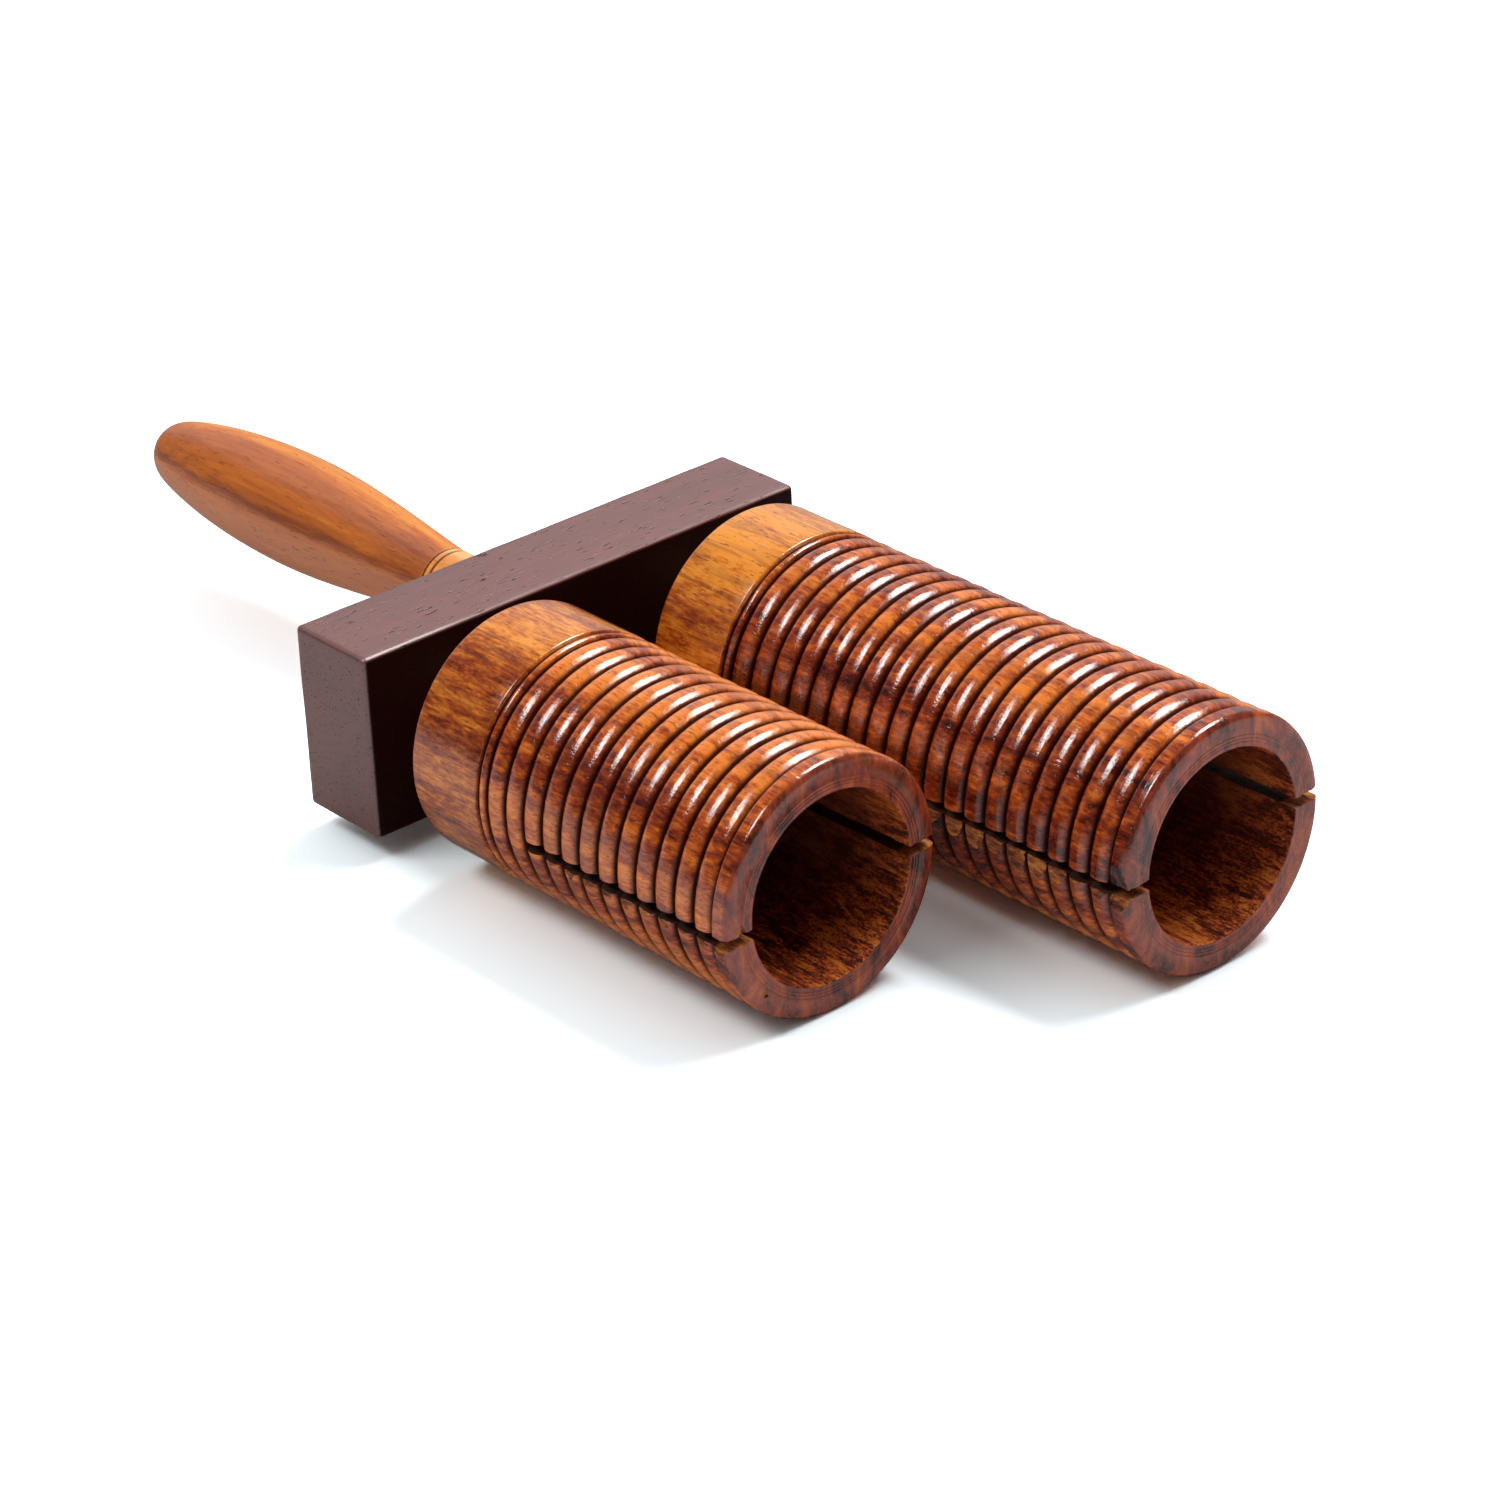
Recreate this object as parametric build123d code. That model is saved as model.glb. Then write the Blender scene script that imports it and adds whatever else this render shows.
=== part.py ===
from build123d import *
import os

# Wooden double agogo: two ribbed tone tubes of unequal length on a crossbar with a turned handle.
# Millimetres. X runs along the tubes towards their mouths, Y from the short tube to the long one, Z up.
# The origin is midway between the handle's tip and the long tube's mouth, on the surface it rests on.

# Tone tubes, alike but for their length and number of ribs
TUBE_RADIUS = 25.0
TUBE_GAP = 8.4
BORE_RADIUS = 18.5
CLOSED_END = 16.0
HIGH_LENGTH = 87.8
HIGH_RIBS = 12
LOW_LENGTH = 125.9
LOW_RIBS = 19

# Turned ribs, and the plain band and thin bead behind them
BAND_LENGTH = 19.4
BEAD_WIDTH = 2.1
RIB_CROWN = 0.55
GROOVE_WIDTH = 0.9
GROOVE_DEPTH = 2.0
BACK_ROUND = 1.2

# Mouth: a rounded rim with a chamfered bore
RIM_WIDTH = 4.3
RIM_ROUND = 1.8
MOUTH_CHAMFER = 0.4

# Saw cut across each tube, through both walls, from the mouth towards the closed end
SLIT_START = 32.2
SLIT_WIDTH = 2.5
SLIT_TILT = 2.35
HIGH_SLIT_LIFT = -0.95
HIGH_SLIT_RAKE = 1.2
LOW_SLIT_LIFT = 0.45
LOW_SLIT_RAKE = 0.4

# Crossbar
BAR_DEPTH = 21.4
BAR_HEIGHT = 38.0
BAR_END = 24.2
BAR_DROP = 1.25
BAR_EDGE = 0.8
BAR_TO_TUBES = 13.0

# Dowels that carry the tubes, and the wood left behind each glued hole
DOWEL_RADIUS = 8.0
DOWEL_CHAMFER = 0.8
BAR_WALL_LEFT = 7.4
END_WALL_LEFT = 4.0
GLUE_GAP = 0.1
GLUE_POCKET = 0.5

# Handle: tenon, neck, double groove, swelling grip and rounded tip
TENON_RADIUS = 6.0
NECK_RADIUS = 7.2
NECK_LENGTH = 23.4
NECK_GROOVE_WIDTH = 0.8
NECK_GROOVE_DEPTH = 0.45
NECK_GROOVE_STEP = 1.7
GRIP_RADIUS = 11.6
GRIP_TAPER = 48.3
GRIP_TAPER_SLOPE = 0.113
GRIP_TAIL = 46.9
TIP_LENGTH = 8.0
TIP_RADIUS = 7.8

# Places that follow from the sizes above
wall = TUBE_RADIUS - BORE_RADIUS
rim_round = min(RIM_ROUND, 0.6 * RIM_WIDTH, 0.4 * wall)
mouth_chamfer = min(MOUTH_CHAMFER, 0.3 * wall)
rib_shoulder = TUBE_RADIUS - min(RIB_CROWN, GROOVE_DEPTH)
groove_bottom = TUBE_RADIUS - GROOVE_DEPTH
tube_y = TUBE_RADIUS + TUBE_GAP / 2
axis_z = TUBE_RADIUS
handle_length = NECK_LENGTH + GRIP_TAPER + GRIP_TAIL
reach_back = BAR_TO_TUBES + BAR_DEPTH + handle_length
tube_back_x = (reach_back - max(HIGH_LENGTH, LOW_LENGTH)) / 2
bar_front_x = tube_back_x - BAR_TO_TUBES
bar_back_x = bar_front_x - BAR_DEPTH
bar_length = 2 * (tube_y + BAR_END)
dowel_in_bar = BAR_DEPTH - BAR_WALL_LEFT
dowel_in_tube = CLOSED_END - END_WALL_LEFT
dowel_hole_radius = DOWEL_RADIUS + GLUE_GAP


def turned(outline):
    """The solid that a closed half outline sweeps about the X axis."""
    return revolve(make_face(outline), Axis.X)


def rib_outline(start, width):
    """One rounded rib between two grooves, from groove bottom to groove bottom."""
    flank = min(GROOVE_WIDTH / 2, 0.3 * width)
    crown_start = (start + flank, rib_shoulder)
    crown_end = (start + width - flank, rib_shoulder)
    return [
        Line((start, groove_bottom), crown_start),
        ThreePointArc(crown_start, (start + width / 2, TUBE_RADIUS), crown_end),
        Line(crown_end, (start + width, groove_bottom)),
    ]


def tube(length, ribs, side, slit_lift, slit_rake):
    """A tone tube: closed at the back with a dowel hole, ribbed, bored and slit. side is -1 or 1 in Y."""
    ribs_start = BAND_LENGTH + BEAD_WIDTH
    rim_start = length - RIM_WIDTH
    pitch = (rim_start - ribs_start) / ribs
    hole_depth = dowel_in_tube + GLUE_POCKET
    band_end = BAND_LENGTH - GROOVE_WIDTH / 2
    rim_foot = (rim_start + min(GROOVE_WIDTH, RIM_WIDTH - rim_round) / 2, rib_shoulder)
    rim_crest = (length - rim_round, TUBE_RADIUS)
    rim_face = (length, TUBE_RADIUS - rim_round)
    outline = [
        Line((hole_depth, 0), (hole_depth, dowel_hole_radius)),
        Line((hole_depth, dowel_hole_radius), (0, dowel_hole_radius)),
        Line((0, dowel_hole_radius), (0, TUBE_RADIUS - BACK_ROUND)),
        TangentArc((0, TUBE_RADIUS - BACK_ROUND), (BACK_ROUND, TUBE_RADIUS), tangent=(0, 1)),
        Line((BACK_ROUND, TUBE_RADIUS), (band_end, TUBE_RADIUS)),
        Line((band_end, TUBE_RADIUS), (BAND_LENGTH, groove_bottom)),
    ]
    outline += rib_outline(BAND_LENGTH, BEAD_WIDTH)
    for rib in range(ribs):
        outline += rib_outline(ribs_start + rib * pitch, pitch)
    outline += [
        Line((rim_start, groove_bottom), rim_foot),
        TangentArc(rim_crest, rim_foot, tangent=(-1, 0)),
        TangentArc(rim_crest, rim_face, tangent=(1, 0)),
        Line(rim_face, (length, BORE_RADIUS + mouth_chamfer)),
        Line((length, BORE_RADIUS + mouth_chamfer), (length - mouth_chamfer, BORE_RADIUS)),
        Line((length - mouth_chamfer, BORE_RADIUS), (CLOSED_END, BORE_RADIUS)),
        Line((CLOSED_END, BORE_RADIUS), (CLOSED_END, 0)),
        Line((CLOSED_END, 0), (hole_depth, 0)),
    ]
    body = Pos(tube_back_x, side * tube_y, axis_z) * turned(outline)
    # The saw line is set by its height at the middle of the mouth, its tilt across it and its rake along it
    slit_line = Pos(tube_back_x + length, side * tube_y, axis_z + slit_lift) * Rot(SLIT_TILT, -slit_rake, 0)
    slit_length = length - SLIT_START
    overrun = TUBE_RADIUS
    saw_cut = Box(slit_length + overrun, 2 * TUBE_RADIUS + TUBE_GAP / 2, SLIT_WIDTH)
    return body - slit_line * Pos((overrun - slit_length) / 2, 0, 0) * saw_cut


def dowel(side):
    """A round dowel from the crossbar's mortise to the hole in a tube's closed end."""
    length = dowel_in_bar + BAR_TO_TUBES + dowel_in_tube
    peg = Cylinder(DOWEL_RADIUS, length, rotation=(0, 90, 0))
    peg = chamfer(peg.edges().filter_by(GeomType.CIRCLE), DOWEL_CHAMFER)
    return Pos(bar_front_x - dowel_in_bar + length / 2, side * tube_y, axis_z) * peg


def crossbar():
    """A block with softened edges, two mortises in front for the dowels and one behind for the handle."""
    block = fillet(Box(BAR_DEPTH, bar_length, BAR_HEIGHT).edges(), BAR_EDGE)
    bar = Pos((bar_front_x + bar_back_x) / 2, 0, axis_z - BAR_DROP) * block
    depth = dowel_in_bar + GLUE_POCKET
    mortise = Cylinder(dowel_hole_radius, depth, rotation=(0, 90, 0))
    for side in (-1, 1):
        bar -= Pos(bar_front_x - depth / 2, side * tube_y, axis_z) * mortise
    handle_mortise = Cylinder(TENON_RADIUS + GLUE_GAP, depth, rotation=(0, 90, 0))
    return bar - Pos(bar_back_x + depth / 2, 0, axis_z) * handle_mortise


def groove_outline(rear_edge):
    """A fine V groove in the neck, from its rear edge to its front edge."""
    bottom = (rear_edge + NECK_GROOVE_WIDTH / 2, NECK_RADIUS - NECK_GROOVE_DEPTH)
    return [
        Line((rear_edge, NECK_RADIUS), bottom),
        Line(bottom, (rear_edge + NECK_GROOVE_WIDTH, NECK_RADIUS)),
    ]


def handle():
    """The grip, drawn from its tip forwards to the tenon. X is 0 at the crossbar's back face."""
    tenon_end = dowel_in_bar
    neck_back = -NECK_LENGTH
    belly = neck_back - GRIP_TAPER
    tip = belly - GRIP_TAIL
    front_groove = neck_back + NECK_GROOVE_STEP
    outline = [
        Spline(
            (tip, 0), (tip + TIP_LENGTH, TIP_RADIUS), (belly, GRIP_RADIUS),
            tangents=[(0, 1), (1, 0)],
        ),
        Spline(
            (belly, GRIP_RADIUS), (neck_back, NECK_RADIUS),
            tangents=[(1, 0), (1, -GRIP_TAPER_SLOPE)],
        ),
        Line((neck_back + NECK_GROOVE_WIDTH, NECK_RADIUS), (front_groove, NECK_RADIUS)),
        Line((front_groove + NECK_GROOVE_WIDTH, NECK_RADIUS), (0, NECK_RADIUS)),
        Line((0, NECK_RADIUS), (0, TENON_RADIUS)),
        Line((0, TENON_RADIUS), (tenon_end, TENON_RADIUS)),
        Line((tenon_end, TENON_RADIUS), (tenon_end, 0)),
        Line((tenon_end, 0), (tip, 0)),
    ]
    outline += groove_outline(neck_back)
    outline += groove_outline(front_groove)
    return Pos(bar_back_x, 0, axis_z) * turned(outline)


pieces = {
    "handle": handle(),
    "crossbar": crossbar(),
    "high_dowel": dowel(-1),
    "low_dowel": dowel(1),
    "high_tube": tube(HIGH_LENGTH, HIGH_RIBS, -1, HIGH_SLIT_LIFT, HIGH_SLIT_RAKE),
    "low_tube": tube(LOW_LENGTH, LOW_RIBS, 1, LOW_SLIT_LIFT, LOW_SLIT_RAKE),
}

os.makedirs("parts", exist_ok=True)
for name, piece in pieces.items():
    export_step(piece, f"parts/{name}.step")
    print(name, piece.bounding_box())
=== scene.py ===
import math
import random

import bpy
from mathutils import Matrix, Vector


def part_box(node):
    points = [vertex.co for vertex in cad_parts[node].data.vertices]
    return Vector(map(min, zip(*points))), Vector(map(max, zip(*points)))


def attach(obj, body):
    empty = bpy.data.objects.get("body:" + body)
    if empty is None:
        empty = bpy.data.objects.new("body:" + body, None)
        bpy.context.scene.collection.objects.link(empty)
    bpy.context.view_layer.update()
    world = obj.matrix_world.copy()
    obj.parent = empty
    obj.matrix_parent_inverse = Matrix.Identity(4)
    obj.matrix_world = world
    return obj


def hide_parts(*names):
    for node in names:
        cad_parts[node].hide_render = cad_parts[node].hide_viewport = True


# Wooden double agogo, in metres. X runs along the tubes towards their mouths, Y from the short tube to
# the long one, and Z up from the surface that it lies on.
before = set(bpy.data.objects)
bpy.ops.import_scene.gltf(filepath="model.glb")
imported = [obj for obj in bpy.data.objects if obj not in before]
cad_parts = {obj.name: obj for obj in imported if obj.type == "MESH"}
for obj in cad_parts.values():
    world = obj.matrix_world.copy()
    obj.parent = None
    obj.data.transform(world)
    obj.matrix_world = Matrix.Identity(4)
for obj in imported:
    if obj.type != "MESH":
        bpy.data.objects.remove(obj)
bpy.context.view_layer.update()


# Crossbar: a planed block of dark, purplish brown hardwood with softened edges. It is bored in front for
# the two dowels and behind for the handle's tenon, then stained and given a thin satin finish.
BAR_EDGE = 0.0011
BAR_EDGE_STEPS = 5
BAR_CUT_STEP = 0.0022
BAR_UNEVENNESS = 0.00016
PLANING_MARK = 0.009
BAR_RELIEF = 0.00003
# Pale top front edge: wear, with a painted highlight along it
EDGE_WEAR_AND_HIGHLIGHT_START = 0.0013
EDGE_WEAR_AND_HIGHLIGHT_FULL = 0.0008
DARK_FIGURE = (0.095, 0.008, 0.005)
BAR_PORE = (0.018, 0.002, 0.001)
WORN_EDGE_AND_HIGHLIGHT = (0.300, 0.170, 0.130)
# Painted shade on the front face, which lies in the tubes' shadow
FRONT_PAINTED_SHADE = (0.012, 0.001, 0.0008)
FRONT_PAINTED_SHADE_SHARE = 0.97
DOWEL_HOLE_RADIUS = 0.0081
TENON_HOLE_RADIUS = 0.0061
MORTISE_DEPTH = 0.0145
DRILL_OVERRUN = 0.002
DRILL_SIDES = 64


def node(material, kind, inputs=None, **settings):
    """Adds a shader node, sets its properties, and fills its sockets with values or other sockets."""
    tree = material.node_tree
    made = tree.nodes.new(kind)
    for name, value in settings.items():
        setattr(made, name, value)
    for socket, value in (inputs or {}).items():
        if isinstance(value, bpy.types.NodeSocket):
            tree.links.new(value, made.inputs[socket])
        else:
            made.inputs[socket].default_value = value
    return made


def new_material(name):
    """An empty node material, and the piece's own coordinates in it."""
    material = bpy.data.materials.new(name)
    material.use_nodes = True
    material.node_tree.nodes.clear()
    coordinates = node(material, "ShaderNodeTexCoord")
    return material, coordinates.outputs["Object"]


def stretched(material, place, scale, offset=(0, 0, 0)):
    """Coordinates in millimetres, drawn out along the grain by a scale below 1."""
    in_mm = tuple(1000 * part for part in scale)
    return node(
        material, "ShaderNodeMapping", {"Vector": place, "Scale": in_mm, "Location": offset},
    ).outputs["Vector"]


def noise(material, vector, per_mm, detail=2.0, roughness=0.5, distortion=0.0):
    """Soft noise with so many features to the millimetre."""
    return node(material, "ShaderNodeTexNoise", {
        "Vector": vector, "Scale": per_mm,
        "Detail": detail, "Roughness": roughness, "Distortion": distortion,
    }).outputs["Fac"]


def ramp(material, factor, stops):
    """A colour ramp through (position, linear colour) stops."""
    made = node(material, "ShaderNodeValToRGB", {"Fac": factor})
    bar = made.color_ramp
    while len(bar.elements) < len(stops):
        bar.elements.new(1.0)
    for element, (position, colour) in zip(bar.elements, stops):
        element.position = position
        element.color = (*colour, 1.0)
    return made.outputs["Color"]


def spread(material, value, low, high, to_low=0.0, to_high=1.0):
    """Maps low..high to to_low..to_high, smoothly and clamped."""
    return node(
        material, "ShaderNodeMapRange",
        {"Value": value, "From Min": low, "From Max": high, "To Min": to_low, "To Max": to_high},
        interpolation_type="SMOOTHSTEP",
    ).outputs["Result"]


def sums(material, operation, first, second):
    """One step of arithmetic on two values or sockets."""
    return node(material, "ShaderNodeMath", {0: first, 1: second}, operation=operation).outputs["Value"]


def plus(material, first, second):
    """The two added up."""
    return sums(material, "ADD", first, second)


def minus(material, first, second):
    """The first less the second."""
    return sums(material, "SUBTRACT", first, second)


def times(material, first, second):
    """The two multiplied."""
    return sums(material, "MULTIPLY", first, second)


def rest(material, share):
    """What a share leaves of 1."""
    return minus(material, 1.0, share)


def parts(material, vector):
    """The X, Y and Z of a vector."""
    return node(material, "ShaderNodeSeparateXYZ", {"Vector": vector}).outputs


def facing_along_x(material):
    """How far the surface faces +X: 1 straight on, -1 straight away."""
    facing = node(material, "ShaderNodeNewGeometry").outputs["Normal"]
    return parts(material, facing)["X"]


def mixed(material, factor, under, over, blend="MIX"):
    """Lays one colour over another, as far as the factor says, and returns the result."""
    made = node(material, "ShaderNodeMix", data_type="RGBA", blend_type=blend)
    sockets = {"Factor_Float": factor, "A_Color": under, "B_Color": over}
    for socket in made.inputs:
        value = sockets.get(socket.identifier)
        if isinstance(value, bpy.types.NodeSocket):
            material.node_tree.links.new(value, socket)
        elif value is not None:
            socket.default_value = (*value, 1.0) if isinstance(value, tuple) else value
    return next(socket for socket in made.outputs if socket.identifier == "Result_Color")


def finish_wood(material, colour, roughness, height, relief, **sockets):
    """Joins colour, roughness and relief in metres to one shader, and sets the shader's other sockets."""
    bump = node(
        material, "ShaderNodeBump", {"Height": height, "Strength": 1.0, "Distance": relief},
    ).outputs["Normal"]
    inputs = {"Base Color": colour, "Roughness": roughness, "Normal": bump, "Coat Normal": bump}
    for name, value in sockets.items():
        inputs[name.replace("_", " ")] = value
    shader = node(material, "ShaderNodeBsdfPrincipled", inputs)
    output = node(material, "ShaderNodeOutputMaterial", {"Surface": shader.outputs["BSDF"]})
    output.is_active_output = True


def stained_bar_wood(worn_highlit_edge):
    """Dark red brown stained wood, satin, with fine grain and open pores along Y, worn pale on one edge.

    The worn edge, which is also painted pale as a highlight, is the one whose X and Z add up to the given
    sum.
    The front, towards +X, lies in the tubes' shadow: it is painted darker as shade and has no shine.
    """
    material, place = new_material("stained_bar_wood")
    along = stretched(material, place, (1.0, 0.06, 1.0))
    figure = noise(material, along, 0.20, 3, 0.55, 0.5)
    fibres = noise(material, along, 2.4, 3, 0.65)
    pore_field = noise(material, stretched(material, place, (1.0, 0.17, 1.0)), 2.0, 1, 0.5)
    pores = spread(material, pore_field, 0.63, 0.73)
    colour = ramp(material, fibres, [
        (0.30, (0.120, 0.009, 0.005)),
        (0.50, (0.168, 0.014, 0.008)),
        (0.72, (0.215, 0.026, 0.015)),
    ])
    in_figure = spread(material, figure, 0.40, 0.72, 0.0, 0.5)
    colour = mixed(material, in_figure, colour, DARK_FIGURE)
    colour = mixed(material, times(material, pores, 0.7), colour, BAR_PORE)
    axes = parts(material, place)
    # The pale top front edge is worn and is also painted lighter as a highlight.
    to_edge = plus(material, axes["X"], axes["Z"])
    on_edge = spread(material, to_edge, worn_highlit_edge - EDGE_WEAR_AND_HIGHLIGHT_START, worn_highlit_edge - EDGE_WEAR_AND_HIGHLIGHT_FULL)
    wear_and_highlight = times(material, on_edge, spread(material, fibres, 0.30, 0.62, 0.0, 0.3))
    colour = mixed(material, wear_and_highlight, colour, WORN_EDGE_AND_HIGHLIGHT)
    # Painted shade: the front face, in the tubes' shadow, is darkened and loses its shine.
    shaded_front = spread(material, facing_along_x(material), 0.70, 0.98)
    shaded_front = times(material, shaded_front, FRONT_PAINTED_SHADE_SHARE)
    colour = mixed(material, shaded_front, colour, FRONT_PAINTED_SHADE)
    dulled = times(material, on_edge, spread(material, figure, 0.40, 0.60, 0.35, 0.85))
    shine = rest(material, times(material, pores, 0.75))
    shine = times(material, shine, rest(material, dulled))
    shine = times(material, shine, rest(material, shaded_front))
    roughness = spread(material, fibres, 0.25, 0.75, 0.36, 0.50)
    height = minus(material, times(material, fibres, 0.35), pores)
    finish_wood(
        material, colour, roughness, height, BAR_RELIEF,
        Specular_IOR_Level=0.05, Coat_Weight=shine, Coat_Roughness=0.43, Coat_IOR=3.0,
    )
    return material


def noise_texture(name, size, depth=2):
    """A cloud texture for the Displace modifier, with features of about the given size."""
    texture = bpy.data.textures.new(name, "CLOUDS")
    texture.noise_scale = size
    texture.noise_depth = depth
    return texture


def take_up(piece):
    """Makes the piece the only one selected, and the active one."""
    bpy.ops.object.select_all(action="DESELECT")
    piece.select_set(True)
    bpy.context.view_layer.objects.active = piece


def apply_modifier(piece, kind, **settings):
    """Adds a modifier to the piece and applies it at once."""
    take_up(piece)
    modifier = piece.modifiers.new(kind.lower(), kind)
    for name, value in settings.items():
        setattr(modifier, name, value)
    bpy.ops.object.modifier_apply(modifier=modifier.name)


def cut_away(piece, cutter):
    """Takes the cutter's shape out of the piece. A cut face keeps its slot number from the cutter."""
    apply_modifier(piece, "BOOLEAN", operation="DIFFERENCE", solver="MANIFOLD", object=cutter)
    bpy.data.objects.remove(cutter)


def smooth(piece, angle=math.radians(35)):
    """Shades the piece smooth, with its sharper edges kept."""
    take_up(piece)
    bpy.ops.object.shade_smooth_by_angle(angle=angle)


def drill(piece, mouth, direction, depth, radius):
    """Bores a round blind hole along X, from the mouth inwards."""
    length = depth + DRILL_OVERRUN
    middle = Vector(mouth) + Vector((direction * (length / 2 - DRILL_OVERRUN), 0, 0))
    bpy.ops.object.select_all(action="DESELECT")
    bpy.ops.mesh.primitive_cylinder_add(
        vertices=DRILL_SIDES, radius=radius, depth=length, location=middle, rotation=(0, math.pi / 2, 0),
    )
    cut_away(piece, bpy.context.object)


bar_low, bar_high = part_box("crossbar")
bpy.ops.object.select_all(action="DESELECT")
bpy.ops.mesh.primitive_cube_add(size=1.0, location=(bar_low + bar_high) / 2)
crossbar = bpy.context.object
crossbar.name = "crossbar_block"
crossbar.data.materials.append(stained_bar_wood(bar_high.x + bar_high.z))
crossbar.scale = bar_high - bar_low
bpy.ops.object.transform_apply(location=True, rotation=True, scale=True)
bpy.ops.object.mode_set(mode="EDIT")
bpy.ops.mesh.select_all(action="SELECT")
bpy.ops.mesh.bevel(offset=BAR_EDGE, segments=BAR_EDGE_STEPS, profile=0.5, affect="EDGES")
for axis in range(3):
    cut_normal = Vector((0, 0, 0))
    cut_normal[axis] = 1
    cuts = int((bar_high[axis] - bar_low[axis]) / BAR_CUT_STEP)
    for cut in range(1, cuts):
        cut_place = bar_low.lerp(bar_high, cut / cuts)
        bpy.ops.mesh.select_all(action="SELECT")
        bpy.ops.mesh.bisect(plane_co=cut_place, plane_no=cut_normal)
bpy.ops.object.mode_set(mode="OBJECT")
apply_modifier(
    crossbar, "DISPLACE",
    texture=noise_texture("planing_marks", PLANING_MARK), strength=BAR_UNEVENNESS, mid_level=1.0,
)
for tube_node in ("high_tube", "low_tube"):
    tube_low, tube_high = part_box(tube_node)
    hole_place = (bar_high.x, (tube_low.y + tube_high.y) / 2, (tube_low.z + tube_high.z) / 2)
    drill(crossbar, hole_place, -1, MORTISE_DEPTH, DOWEL_HOLE_RADIUS)
handle_low, handle_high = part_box("handle")
handle_z = (handle_low.z + handle_high.z) / 2
drill(crossbar, (bar_low.x, 0, handle_z), 1, MORTISE_DEPTH, TENON_HOLE_RADIUS)
smooth(crossbar)
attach(crossbar, "root")
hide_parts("crossbar")


# Dowels: two plain pegs of pale hardwood, chamfered at both ends, glued into the crossbar and into the
# tubes' closed ends. Only the 13 mm between bar and tube is ever seen.
DOWEL_PORE = (0.150, 0.080, 0.040)
DOWEL_RELIEF = 0.00006


def bare_dowel_wood():
    """Unvarnished pale wood with fine fibres along X and a few grey pores."""
    material, place = new_material("bare_dowel_wood")
    fibres = noise(material, stretched(material, place, (0.06, 1.0, 1.0)), 1.6, 4, 0.65)
    pore_field = noise(material, stretched(material, place, (0.2, 1.0, 1.0)), 2.4, 1)
    pores = spread(material, pore_field, 0.63, 0.74)
    colour = ramp(material, fibres, [
        (0.28, (0.310, 0.145, 0.055)),
        (0.52, (0.450, 0.240, 0.105)),
        (0.78, (0.550, 0.330, 0.165)),
    ])
    colour = mixed(material, times(material, pores, 0.6), colour, DOWEL_PORE)
    roughness = spread(material, fibres, 0.2, 0.8, 0.62, 0.80)
    height = minus(material, times(material, fibres, 0.5), pores)
    finish_wood(material, colour, roughness, height, DOWEL_RELIEF)
    return material


dowel_material = bare_dowel_wood()
for dowel_node in ("high_dowel", "low_dowel"):
    for dowel_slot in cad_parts[dowel_node].material_slots:
        dowel_slot.material = dowel_material


# Tone tubes: each is turned from reddish brown hardwood with golden streaks, closed behind, bored from
# the mouth, ribbed for scraping, varnished to a gloss, and then sawn through both walls from the mouth.
SPIN_STEPS = 200
TUBE_SMOOTHING = math.radians(40)
BORE_RADIUS = 0.0185
BORE_MARGIN = 0.0002
BORE_RING_STEP = 0.004
BORE_JITTER = 0.00005
CLOSED_END = 0.016
BACK_ROUND = 0.0012
BACK_MARGIN = 0.001
DOWEL_HOLE_DEPTH = 0.0125
BAND_LENGTH = 0.0194
BAND_ROUND = 0.0004
BEAD_WIDTH = 0.0021
BEAD_DROP = 0.0001
GROOVE_DEPTH = 0.002
RIB_SQUARENESS = 2.2
RIB_JITTER = 0.00010
RIB_STEPS = (-1, -0.985, -0.95, -0.88, -0.76, -0.58, -0.3, 0, 0.3, 0.58, 0.76, 0.88, 0.95, 0.985)
RIM_WIDTH = 0.0043
RIM_BACK_ALONG = 0.0010
RIM_BACK_OUT = 0.0012
RIM_ROUND_ALONG = 0.0014
RIM_ROUND_OUT = 0.0021
MOUTH_ROUND = 0.0004
LATHE_LINE = 0.00006
LATHE_LINES_FROM_BORE = (0.0024, 0.0017, 0.0011)
TURNING_WOBBLE = 0.00014
WOBBLE_LENGTH = 0.011
# Saw cut, the splinters torn from its lips, the chips on the mouth's face, and the painted shade inside
# the cut
SLIT_START = 0.0322
SLIT_WIDTH = 0.0025
SLIT_TILT = math.radians(2.35)
SAW_OVERRUN = 0.012
SAW_SPARE = 0.004
SAW_CUTS_ALONG = 150
SAW_CUTS_ACROSS = 110
SAW_ROUGHNESS = 0.0006
SAW_FIBRE = 0.0011
SAW_FIBRE_STRETCH = 4
SLIT_SHADE_FROM_MOUTH = 0.0032
SLIT_SHADE_FADE = 0.0012
SPLINTER = 0.0009
SPLINTER_ROUGHNESS = 0.0009
BLOCK_CUTS = 8
BLOCK_GAP = 0.0006
BLOCK_SPARE = 0.0008
LIP_DEPTH = 0.0013
LIP_DEPTH_SHARE = 0.33
RIM_LOWER_DEPTH_SHARE = 0.7
RIM_UPPER_DEPTH_SHARE = 0.3
RIM_UPPER_WIDTH_SHARE = 1.2
CHIP_DEPTH = 0.0006
CHIP_TURN = (0.5, 0.15, 0)
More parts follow.
